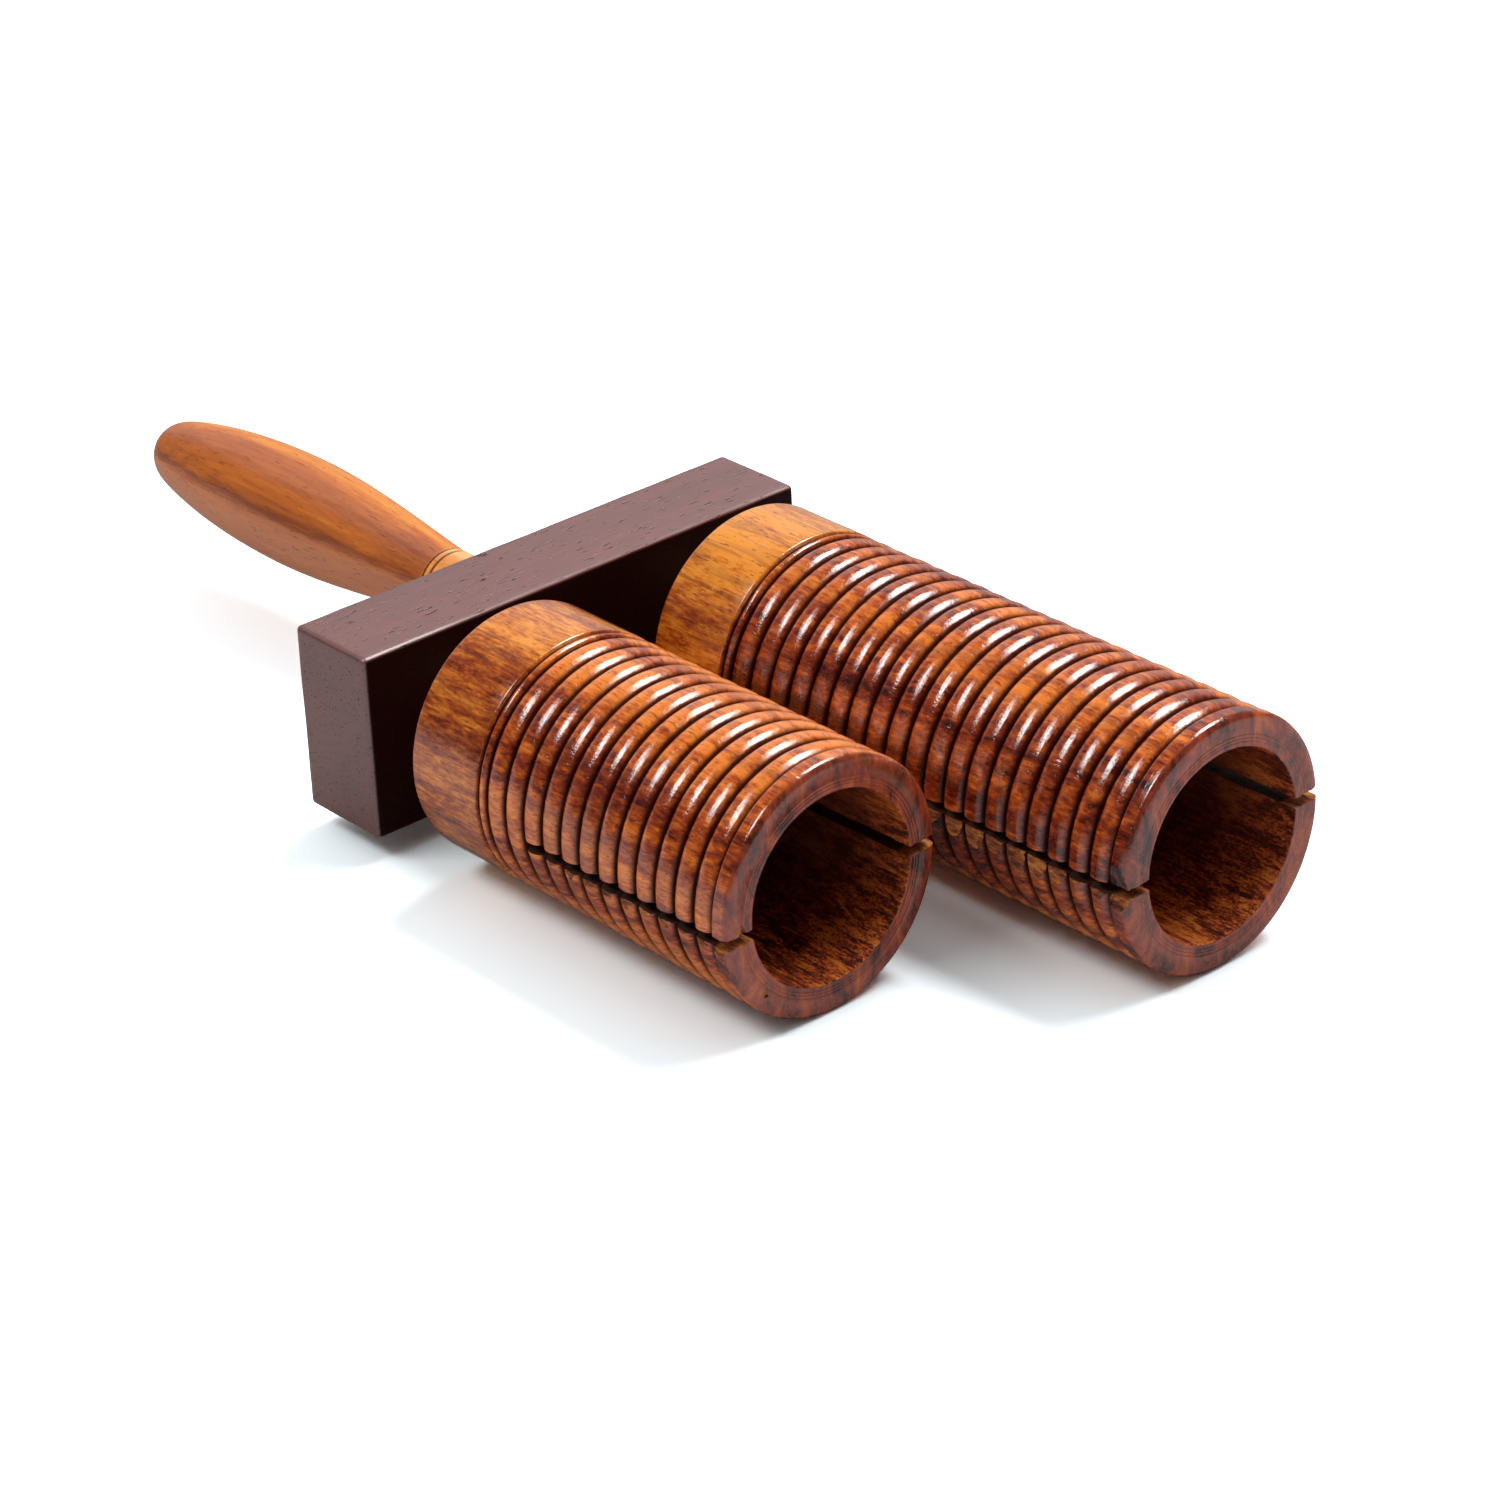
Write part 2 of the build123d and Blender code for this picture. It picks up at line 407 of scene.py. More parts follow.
# Where the wood's looks change along the tube, how deep the dirt and painted shade lie in the grooves,
# and how far in the bore is painted dark as shade
BAND_BLEND = 0.001
RIM_DARKENING = (0.0036, 0.0043)
RIM_END_GRAIN = (0.0026, 0.0034)
BACK_END_GRAIN = (0.0030, 0.0040)
DIRT_AND_SHADE_FULL = 0.0014
DIRT_AND_SHADE_GONE = 0.0004
SHADE_LEAN = 0.00035
BORE_SHADE_FULL = 0.046
BORE_SHADE_GONE = 0.006
VARNISHED_RELIEF = 0.00004
BORED_RELIEF = 0.00035
RAW_RELIEF = 0.0003
RIB_REDNESS = (1.0, 0.76, 0.8)
CLOUD_BROWN = (0.205, 0.042, 0.020)
TUBE_PORE = (0.045, 0.006, 0.002)
GRAIN_LINE = (0.090, 0.012, 0.002)
# Groove dirt and painted shade
GROOVE_DIRT_AND_SHADE = (0.032, 0.0022, 0.0005)
# Painted shade deep in the bore
BORE_PAINTED_SHADE = (0.095, 0.018, 0.009)
# Painted shade inside the saw cut
SLIT_PAINTED_SHADE = (0.030, 0.008, 0.003)
VARNISHED, BORED, SAWN, TORN = range(4)


def grain_noise(material, place, stretch, offset, per_mm, detail=2.0, roughness=0.5, distortion=0.0):
    """Noise drawn out along X by a stretch below 1, with an offset so that no two tubes match."""
    vector = stretched(material, place, (stretch, 1.0, 1.0), offset)
    return noise(material, vector, per_mm, detail, roughness, distortion)


def vector_sums(material, operation, first, second=(0, 0, 0)):
    """One step of arithmetic on two vectors."""
    return node(material, "ShaderNodeVectorMath", {0: first, 1: second}, operation=operation).outputs


def swung(material, tone, layers):
    """Swings a tone up and down by layers of noise, each by its share."""
    for layer, share in layers:
        swing = times(material, minus(material, layer, 0.5), share)
        tone = plus(material, tone, swing)
    return tone


def varnished_rosewood(name, axis, radius, mouth_x, offset, band_tone, rib_tone):
    """Glossy reddish brown wood with golden and dark streaks along X, dirt and painted shade in the
    turned grooves, painted shade on its -Y side and painted light underneath.
    """
    material, place = new_material(name)
    figure = grain_noise(material, place, 0.10, offset, 0.11, 2, 0.5, 0.6)
    streaks = grain_noise(material, place, 0.28, offset, 0.55, 3, 0.6, 0.3)
    spots = grain_noise(material, place, 0.35, offset, 1.3, 2, 0.6)
    fibres = grain_noise(material, place, 0.10, offset, 2.2, 3, 0.65)
    clouds = grain_noise(material, place, 0.14, offset, 0.30, 4, 0.6, 0.8)
    grain = grain_noise(material, place, 0.6, offset, 3.4, 2, 0.6)
    line_field = grain_noise(material, place, 0.025, offset, 0.8, 2, 0.5, 0.4)
    grain_lines = spread(material, line_field, 0.60, 0.72)
    pore_field = grain_noise(material, place, 0.20, offset, 2.2, 2, 0.55)
    pores = spread(material, pore_field, 0.60, 0.70)

    along_x = parts(material, place)["X"]
    from_mouth = minus(material, mouth_x, along_x)
    from_axis = vector_sums(material, "SUBTRACT", place, axis)["Vector"]
    across = vector_sums(material, "MULTIPLY", from_axis, (0, 1, 1))["Vector"]
    reach = vector_sums(material, "LENGTH", across)["Value"]
    side = parts(material, from_axis)
    # Painted shade: the tone is darker on the tube's -Y side.
    painted_side_shade = spread(material, side["Y"], -0.95 * radius, -0.45 * radius, -0.15, 0.0)
    # Painted light: the tone is lighter on the tube's underside.
    painted_underside_light = spread(material, side["Z"], -0.60 * radius, -0.10 * radius, 0.13, 0.0)
    band_edge = axis[0] + BAND_LENGTH
    on_ribs = spread(material, along_x, band_edge - BAND_BLEND, band_edge + BAND_BLEND)
    tone = spread(
        material, along_x, band_edge - BAND_BLEND, band_edge + BAND_BLEND, band_tone, rib_tone,
    )
    tone = plus(material, tone, plus(material, painted_side_shade, painted_underside_light))
    tone = plus(material, tone, spread(material, from_mouth, *RIM_DARKENING, -0.12, 0.0))
    figure_share = plus(material, 0.85, times(material, on_ribs, 0.5))
    streak_share = plus(material, 0.7, times(material, on_ribs, 0.2))
    layers = ((figure, figure_share), (streaks, streak_share), (spots, 0.5), (fibres, 0.5))
    colour = ramp(material, swung(material, tone, layers), [
        (0.20, (0.030, 0.0022, 0.0005)),
        (0.36, (0.115, 0.011, 0.0014)),
        (0.50, (0.270, 0.038, 0.0036)),
        (0.62, (0.450, 0.086, 0.006)),
        (0.76, (0.700, 0.190, 0.014)),
        (0.92, (0.920, 0.320, 0.032)),
    ])
    colour = mixed(material, on_ribs, colour, RIB_REDNESS, "MULTIPLY")
    in_clouds = spread(material, clouds, 0.47, 0.67, 0.0, 0.45)
    colour = mixed(material, in_clouds, colour, CLOUD_BROWN)
    colour = mixed(material, times(material, pores, 0.6), colour, TUBE_PORE)
    colour = mixed(material, times(material, grain_lines, 0.45), colour, GRAIN_LINE)

    facing_x = facing_along_x(material)
    at_rim = spread(material, from_mouth, *RIM_END_GRAIN, 1.0, 0.0)
    back_start, back_end = (axis[0] + from_back for from_back in BACK_END_GRAIN)
    at_back = spread(material, along_x, back_start, back_end, 1.0, 0.0)
    at_end = sums(material, "MAXIMUM", at_rim, at_back)
    end_on = spread(material, sums(material, "ABSOLUTE", facing_x, 0.0), 0.10, 0.80)
    end_grain = times(material, at_end, end_on)
    # Dirt and painted shade in the grooves, leaning onto the flanks that face +X, where the shade falls;
    # the varnish's shine goes with it.
    shaded_reach = minus(material, reach, times(material, facing_x, SHADE_LEAN))
    in_groove = spread(material, shaded_reach, radius - DIRT_AND_SHADE_FULL, radius - DIRT_AND_SHADE_GONE, 0.97, 0.0)
    dirt_and_shade = times(material, in_groove, rest(material, at_end))
    colour = mixed(material, dirt_and_shade, colour, GROOVE_DIRT_AND_SHADE)
    end_place = stretched(material, place, (1.0, 1.0, 0.45), offset)
    end_colour = ramp(material, noise(material, end_place, 0.20, 6, 0.72, 0.6), [
        (0.38, (0.030, 0.003, 0.002)),
        (0.47, (0.205, 0.027, 0.012)),
        (0.56, (0.360, 0.050, 0.018)),
        (0.68, (0.580, 0.120, 0.020)),
    ])
    colour = mixed(material, times(material, end_grain, 0.9), colour, end_colour)

    roughness = spread(material, streaks, 0.3, 0.7, 0.35, 0.5)
    roughness = plus(material, roughness, times(material, end_grain, 0.1))
    lathe_place = stretched(material, place, (1.0, 0.06, 0.06), offset)
    turning_lines = noise(material, lathe_place, 2.4, 2, 0.6)
    height = times(material, pores, -0.3)
    for layer, share in ((turning_lines, 1.3), (fibres, 0.3), (grain, 0.9)):
        height = plus(material, height, times(material, layer, share))
    varnish = rest(material, dirt_and_shade)
    finish_wood(
        material, colour, roughness, height, VARNISHED_RELIEF,
        Specular_IOR_Level=0.1, Coat_Weight=varnish, Coat_Roughness=0.04, Coat_IOR=2.3,
    )
    return material


def bored_wood(name, axis, offset, mouth_x):
    """The bore's wall: thinly varnished wood scored along X, with orange streaks, painted darker as shade
    far inside.
    """
    material, place = new_material(name)
    figure = grain_noise(material, place, 0.3, offset, 0.22, 3, 0.6, 0.8)
    streaks = grain_noise(material, place, 0.18, offset, 1.5, 4, 0.7)
    tear = grain_noise(material, place, 0.5, offset, 2.6, 4, 0.75)
    colour = ramp(material, swung(material, figure, ((streaks, 1.2), (tear, 1.3))), [
        (0.32, (0.040, 0.004, 0.001)),
        (0.48, (0.260, 0.034, 0.007)),
        (0.60, (0.760, 0.135, 0.018)),
        (0.78, (0.960, 0.320, 0.045)),
    ])
    axes = parts(material, place)
    to_side = minus(material, axes["Y"], axis[1])
    # Painted shade: the bore grows dark further in, from nearer the mouth on its +Y wall.
    daylight = minus(material, axes["X"], times(material, to_side, 1.2))
    inside = spread(material, daylight, mouth_x - BORE_SHADE_FULL, mouth_x - BORE_SHADE_GONE, 0.87, 0.0)
    colour = mixed(material, inside, colour, BORE_PAINTED_SHADE)
    height = plus(material, streaks, times(material, tear, 0.8))
    roughness = spread(material, tear, 0.3, 0.7, 0.35, 0.6)
    finish_wood(material, colour, roughness, height, BORED_RELIEF, Specular_IOR_Level=0.3)
    return material


def raw_wood(name, shaded_until):
    """Raw wood of the saw cut and its torn lips: dull golden brown fibres along X.

    Behind the given place along X it is painted dark as shade, as deep inside the saw cut.
    """
    material, place = new_material(name)
    along = stretched(material, place, (0.25, 1.0, 1.0))
    fibres = noise(material, along, 2.2, 4, 0.7)
    patches = noise(material, along, 0.35, 3, 0.6)
    tone = plus(material, fibres, minus(material, patches, 0.5))
    colour = ramp(material, tone, [
        (0.30, (0.080, 0.014, 0.004)),
        (0.50, (0.320, 0.085, 0.016)),
        (0.72, (0.640, 0.240, 0.050)),
    ])
    along_x = parts(material, place)["X"]
    # Painted shade: the cut's faces are dark beyond a few millimetres from the mouth.
    slit_shade = spread(material, along_x, shaded_until - SLIT_SHADE_FADE, shaded_until, 0.88, 0.0)
    colour = mixed(material, slit_shade, colour, SLIT_PAINTED_SHADE)
    roughness = spread(material, fibres, 0.2, 0.8, 0.75, 0.95)
    finish_wood(material, colour, roughness, fibres, RAW_RELIEF)
    return material


def start_outline(name, place):
    """A new piece that holds one selected vertex, in edit mode, ready to be drawn out into an outline."""
    bpy.ops.object.select_all(action="DESELECT")
    bpy.ops.mesh.primitive_plane_add(size=0.001)
    piece = bpy.context.object
    piece.name = name
    bpy.ops.object.mode_set(mode="EDIT")
    bpy.ops.mesh.select_all(action="SELECT")
    bpy.ops.mesh.merge(type="CENTER")
    bpy.ops.transform.translate(value=place)
    return piece


def turn_on_lathe(name, axis, outline, steps):
    """Turns a half outline of (distance along X, radius) points about the axis from the given point."""
    start_along, start_radius = outline[0]
    piece = start_outline(name, Vector(axis) + Vector((start_along, 0, start_radius)))
    for (from_along, from_radius), (to_along, to_radius) in zip(outline, outline[1:]):
        step = (to_along - from_along, 0, to_radius - from_radius)
        bpy.ops.mesh.extrude_vertices_move(TRANSFORM_OT_translate={"value": step})
    bpy.ops.mesh.select_all(action="SELECT")
    bpy.ops.mesh.spin(steps=steps, angle=2 * math.pi, center=axis, axis=(1, 0, 0))
    bpy.ops.mesh.select_all(action="SELECT")
    bpy.ops.mesh.remove_doubles(threshold=0.000002)
    bpy.ops.mesh.select_all(action="SELECT")
    bpy.ops.mesh.normals_make_consistent(inside=False)
    bpy.ops.object.mode_set(mode="OBJECT")
    return piece


def quarter_round(centre, along, out, start_degrees, end_degrees, steps=6):
    """Points along an oval arc of an outline, both ends included."""
    points = []
    for step in range(steps + 1):
        angle = math.radians(start_degrees + (end_degrees - start_degrees) * step / steps)
        points.append((centre[0] + along * math.cos(angle), centre[1] + out * math.sin(angle)))
    return points


def rib_points(start, width, radius, crown):
    """A rounded rib from its rear groove to its front groove, which the next rib's first point closes."""
    depth = GROOVE_DEPTH - crown
    points = []
    for step in RIB_STEPS:
        drop = 1 - (1 - abs(step) ** RIB_SQUARENESS) ** (1 / RIB_SQUARENESS)
        points.append((start + width * (1 + step) / 2, radius - crown - depth * drop))
    return points


def tube_outline(length, radius, ribs, chance):
    """The half outline of a tone tube, from the dowel hole's bottom round to the bore's bottom."""
    outline = [
        (DOWEL_HOLE_DEPTH, 0), (DOWEL_HOLE_DEPTH, DOWEL_HOLE_RADIUS), (0, DOWEL_HOLE_RADIUS),
    ]
    outline += quarter_round((BACK_ROUND, radius - BACK_ROUND), BACK_ROUND, BACK_ROUND, 180, 90)
    outline += [(0.25 * BAND_LENGTH, radius), (0.5 * BAND_LENGTH, radius), (0.75 * BAND_LENGTH, radius)]
    band_end = (BAND_LENGTH - 2 * BAND_ROUND, radius - BAND_ROUND)
    outline += quarter_round(band_end, BAND_ROUND, BAND_ROUND, 90, 20, 3)
    outline += rib_points(BAND_LENGTH, BEAD_WIDTH, radius, BEAD_DROP)
    first_rib = BAND_LENGTH + BEAD_WIDTH
    rim_start = length - RIM_WIDTH
    pitch = (rim_start - first_rib) / ribs
    for rib in range(ribs):
        crown = chance.uniform(0, RIB_JITTER)
        outline += rib_points(first_rib + rib * pitch, pitch, radius, crown)
    outline.append((rim_start, radius - GROOVE_DEPTH))
    rim_back = (rim_start + RIM_BACK_ALONG, radius - RIM_BACK_OUT)
    outline += quarter_round(rim_back, RIM_BACK_ALONG, RIM_BACK_OUT, 180, 90, 4)
    rim_front = (length - RIM_ROUND_ALONG, radius - RIM_ROUND_OUT)
    outline += quarter_round(rim_front, RIM_ROUND_ALONG, RIM_ROUND_OUT, 90, 0, 9)
    for from_bore in LATHE_LINES_FROM_BORE:
        line_radius = BORE_RADIUS + from_bore
        outline += [
            (length, line_radius + LATHE_LINE),
            (length - LATHE_LINE, line_radius),
            (length, line_radius - LATHE_LINE),
        ]
    bore_start = length - MOUTH_ROUND
    outline += quarter_round((bore_start, BORE_RADIUS + MOUTH_ROUND), MOUTH_ROUND, -MOUTH_ROUND, 0, 90, 3)
    rings = int((length - CLOSED_END) / BORE_RING_STEP)
    for ring in range(1, rings):
        along = bore_start - (bore_start - CLOSED_END) * ring / rings
        outline.append((along, BORE_RADIUS + chance.uniform(-BORE_JITTER, BORE_JITTER)))
    outline += [(CLOSED_END, BORE_RADIUS), (CLOSED_END, 0)]
    return outline


def take_slots(cutter, tube, index):
    """Gives a cutter the tube's material slots and all its faces one of them."""
    for slot in tube.material_slots:
        cutter.data.materials.append(slot.material)
    for face in cutter.data.polygons:
        face.material_index = index


def saw_blade(tube, length, radius, axis, lift, rake):
    """The rough slab that a saw takes out of a tube, raised at the mouth by lift and falling by rake."""
    slit_length = length - SLIT_START + SAW_OVERRUN
    bpy.ops.object.select_all(action="DESELECT")
    bpy.ops.mesh.primitive_grid_add(
        x_subdivisions=SAW_CUTS_ALONG, y_subdivisions=SAW_CUTS_ACROSS, size=1.0,
    )
    blade = bpy.context.object
    blade.scale = (slit_length / SAW_FIBRE_STRETCH, 2 * radius + SAW_SPARE, 1)
    bpy.ops.object.transform_apply(location=True, rotation=True, scale=True)
    apply_modifier(blade, "SOLIDIFY", thickness=SLIT_WIDTH - SAW_ROUGHNESS / 2, offset=0.0)
    apply_modifier(
        blade, "DISPLACE", texture=noise_texture("torn_fibres", SAW_FIBRE),
        strength=SAW_ROUGHNESS, mid_level=0.5, direction="Z",
    )
    blade.scale = (SAW_FIBRE_STRETCH, 1, 1)
    bpy.ops.object.transform_apply(location=False, rotation=False, scale=True)
    mouth = Matrix.Translation((axis[0] + length, axis[1], axis[2] + lift))
    tilt = Matrix.Rotation(SLIT_TILT, 4, "X") @ Matrix.Rotation(-rake, 4, "Y")
    blade.matrix_world = mouth @ tilt @ Matrix.Translation((SAW_OVERRUN - slit_length / 2, 0, 0))
    bpy.ops.object.transform_apply(location=True, rotation=True, scale=True)
    take_slots(blade, tube, SAWN)
    return blade


def rough_block(tube, place, size, turn, index):
    """A small block for breaking wood away, divided finely enough to be roughened."""
    bpy.ops.object.select_all(action="DESELECT")
    bpy.ops.mesh.primitive_cube_add(size=1.0, location=place, rotation=turn)
    block = bpy.context.object
    block.scale = size
    bpy.ops.object.transform_apply(location=True, rotation=True, scale=True)
    bpy.ops.object.mode_set(mode="EDIT")
    bpy.ops.mesh.select_all(action="SELECT")
    bpy.ops.mesh.subdivide(number_cuts=BLOCK_CUTS)
    bpy.ops.object.mode_set(mode="OBJECT")
    take_slots(block, tube, index)
    return block


def lip_block(tube, axis, radius, along, width, edge_z, height, depth, index):
    """A block that breaks a lip of the slit on the wall towards -Y, from its edge up to the surface.

    Its depth is at the edge. A height above zero breaks the upper lip, and one below zero the lower.
    """
    edge_angle = math.asin((edge_z - axis[2]) / radius)
    end_angle = edge_angle + height / radius
    inner = Vector((0, -(radius - depth) * math.cos(edge_angle), (radius - depth) * math.sin(edge_angle)))
    outer = Vector((0, -radius * math.cos(end_angle), radius * math.sin(end_angle)))
    slope = outer - inner
    away = Vector((0, slope.z, -slope.y)).normalized() * -math.copysign(1, height)
    thickness = depth + BLOCK_SPARE
    place = Vector((along, axis[1], axis[2])) + (inner + outer) / 2 + away * thickness / 2
    turn = (math.atan2(-away.y, away.z), 0, 0)
    return rough_block(tube, place, (width, slope.length + 2 * BLOCK_SPARE, thickness), turn, index)


def break_away(tube, blocks):
    """Joins the blocks, roughens them and takes them out of the tube."""
    bpy.ops.object.select_all(action="DESELECT")
    for block in blocks:
        block.select_set(True)
    bpy.context.view_layer.objects.active = blocks[0]
    bpy.ops.object.join()
    cutter = bpy.context.object
    apply_modifier(
        cutter, "DISPLACE",
        texture=noise_texture("splinters", SPLINTER, 3), strength=SPLINTER_ROUGHNESS, mid_level=0.5,
    )
    cut_away(tube, cutter)


def make_tube(
    node_name, piece_name, ribs, seed, figure_offset, band_tone, rib_tone, slit_lift, slit_rake,
    torn, rim_torn, chips,
):
    """Turns, bores, varnishes and slits one tone tube in the place of its node.

    torn gives how far each rib's lower lip is broken, from the mouth inwards; rim_torn the rim's lower
    and upper lips; chips the places on the mouth's face, from its middle, where a chip is gone.
    """
    low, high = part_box(node_name)
    radius = (high.y - low.y) / 2
    axis = (low.x, (low.y + high.y) / 2, (low.z + high.z) / 2)
    length = high.x - low.x
    chance = random.Random(seed)
    tube = turn_on_lathe(piece_name, axis, tube_outline(length, radius, ribs, chance), SPIN_STEPS)
    apply_modifier(
        tube, "DISPLACE", texture=noise_texture(piece_name + "_wobble", WOBBLE_LENGTH),
        strength=TURNING_WOBBLE, mid_level=1.0,
    )
    tube.data.materials.append(varnished_rosewood(
        piece_name + "_rosewood", axis, radius, high.x, figure_offset, band_tone, rib_tone,
    ))
    tube.data.materials.append(bored_wood(piece_name + "_bore", axis, figure_offset, high.x))
    tube.data.materials.append(raw_wood(piece_name + "_sawn", high.x - SLIT_SHADE_FROM_MOUTH))
    tube.data.materials.append(raw_wood(piece_name + "_torn", low.x))
    for face in tube.data.polygons:
        from_axis = math.hypot(face.center.y - axis[1], face.center.z - axis[2])
        if from_axis < BORE_RADIUS + BORE_MARGIN and face.center.x > low.x + BACK_MARGIN:
            face.material_index = BORED
    cut_away(tube, saw_blade(tube, length, radius, axis, slit_lift, slit_rake))

    slit_z = axis[2] + slit_lift - radius * math.tan(SLIT_TILT)
    lower_z = slit_z - SLIT_WIDTH / 2
    upper_z = slit_z + SLIT_WIDTH / 2
    rim_middle = high.x - RIM_WIDTH / 2
    pitch = (length - RIM_WIDTH - BAND_LENGTH - BEAD_WIDTH) / ribs
    blocks = []
    for rib, height in enumerate(torn):
        from_mouth = RIM_WIDTH + (rib + 0.5) * pitch
        lip_z = lower_z - from_mouth * math.tan(slit_rake)
        depth = min(LIP_DEPTH, LIP_DEPTH_SHARE * height)
        blocks.append(lip_block(
            tube, axis, radius, high.x - from_mouth, pitch - BLOCK_GAP, lip_z, -height, depth, TORN,
        ))
    lower_break, upper_break = rim_torn
    blocks.append(lip_block(
        tube, axis, radius, rim_middle + BLOCK_GAP, RIM_WIDTH,
        lower_z, -lower_break, RIM_LOWER_DEPTH_SHARE * lower_break, TORN,
    ))
    if upper_break:
        blocks.append(lip_block(
            tube, axis, radius, rim_middle, RIM_UPPER_WIDTH_SHARE * RIM_WIDTH,
            upper_z, upper_break, RIM_UPPER_DEPTH_SHARE * upper_break, VARNISHED,
        ))
    for across, up, wide, tall in chips:
        place = (high.x, axis[1] + across, axis[2] + up)
        blocks.append(rough_block(tube, place, (CHIP_DEPTH, wide, tall), CHIP_TURN, TORN))
    break_away(tube, blocks)
    smooth(tube, TUBE_SMOOTHING)
    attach(tube, "root")
    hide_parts(node_name)


make_tube(
    "high_tube", "high_tone_tube", ribs=12, seed=3,
    figure_offset=(4.0, 11.0, 7.0), band_tone=0.73, rib_tone=0.79,
    slit_lift=-0.00095, slit_rake=math.radians(1.2),
    torn=(0.0014, 0.0010, 0.0016, 0.0012, 0.0017, 0.0015, 0.0012, 0.0013, 0.0009),
    rim_torn=(0.0010, 0),
    chips=((-0.0213, -0.0001, 0.0014, 0.0022), (-0.0165, -0.0145, 0.0010, 0.0018)),
)
make_tube(
    "low_tube", "low_tone_tube", ribs=19, seed=8,
    figure_offset=(41.0, 3.0, 23.0), band_tone=0.92, rib_tone=0.68,
    slit_lift=0.00045, slit_rake=math.radians(0.4),
    torn=(
        0.0014, 0.0006, 0.0030, 0.0040, 0.0040, 0.0031, 0.0037, 0.0033,
        0.0028, 0.0034, 0.0026, 0.0030, 0.0022, 0.0028, 0.0018, 0.0020,
    ),
    rim_torn=(0.0020, 0.0040),
    chips=(),
)


# Handle: turned from golden brown hardwood, with a straight neck, a double groove, a long grip that
# swells to its belly and a rounded tip. Its tenon is glued into the crossbar's back, and it is varnished
# satin.
HANDLE_STEPS = 128
TENON_RADIUS = 0.006
TENON_LENGTH = 0.014
NECK_RADIUS = 0.0072
NECK_LENGTH = 0.0234
NECK_GROOVE_WIDTH = 0.0008
NECK_GROOVE_DEPTH = 0.00045
NECK_GROOVE_STEP = 0.0017
GRIP_TAPER = 0.0483
GRIP_TAPER_SLOPE = 0.113
GRIP_TAPER_STEPS = 20
BELLY_PULL = 0.016
TAIL_PULL_ALONG = 0.010
TAIL_PULL_OUT = 0.0023
TAIL_STEPS = 16
TIP_LENGTH = 0.008
TIP_RADIUS = 0.0078
TIP_PULL_OUT = 0.0052
TIP_SHOULDER_ALONG = 0.0035
TIP_SHOULDER_OUT = 0.0068
TIP_STEPS = 14
# How golden the wood is round the grip, and how mauve, the mauve along the underside being a painted
# sheen: from level on the short tube's side (0), over the top (0.5), to level on the other side (1)
GOLD_STOPS = (
    (0.00, 0.58), (0.06, 0.60), (0.11, 0.31), (0.16, 0.48), (0.26, 0.50), (0.34, 0.43), (0.45, 0.47),
    (0.56, 0.69), (1.00, 0.50),
)
MAUVE_AND_SHEEN_STOPS = (
    (0.00, 0.60), (0.07, 0.42), (0.12, 0.08), (0.28, 0.04), (0.36, 0.36), (0.46, 0.30), (0.56, 0.12),
    (1.00, 0.30),
)
# Mauve brown of the bands, and of the painted sheen along the underside
MAUVE_BROWN_AND_SHEEN = (0.500, 0.215, 0.140)
HANDLE_PORE = (0.110, 0.030, 0.010)
NECK_LINE = (0.060, 0.014, 0.004)
NECK_LINE_FULL = 0.00025
NECK_LINE_GONE = 0.00003
NECK_LINES_BEFORE = 0.0003
NECK_LINES_AFTER = (0.003, 0.0035)
NECK_BLEND = 0.0002
NECK_PALENESS = 0.35
HANDLE_RELIEF = 0.00004


def grey_ramp(material, factor, stops):
    """A smooth run of values through (position, value) stops."""
    return ramp(material, factor, [(position, (value, value, value)) for position, value in stops])


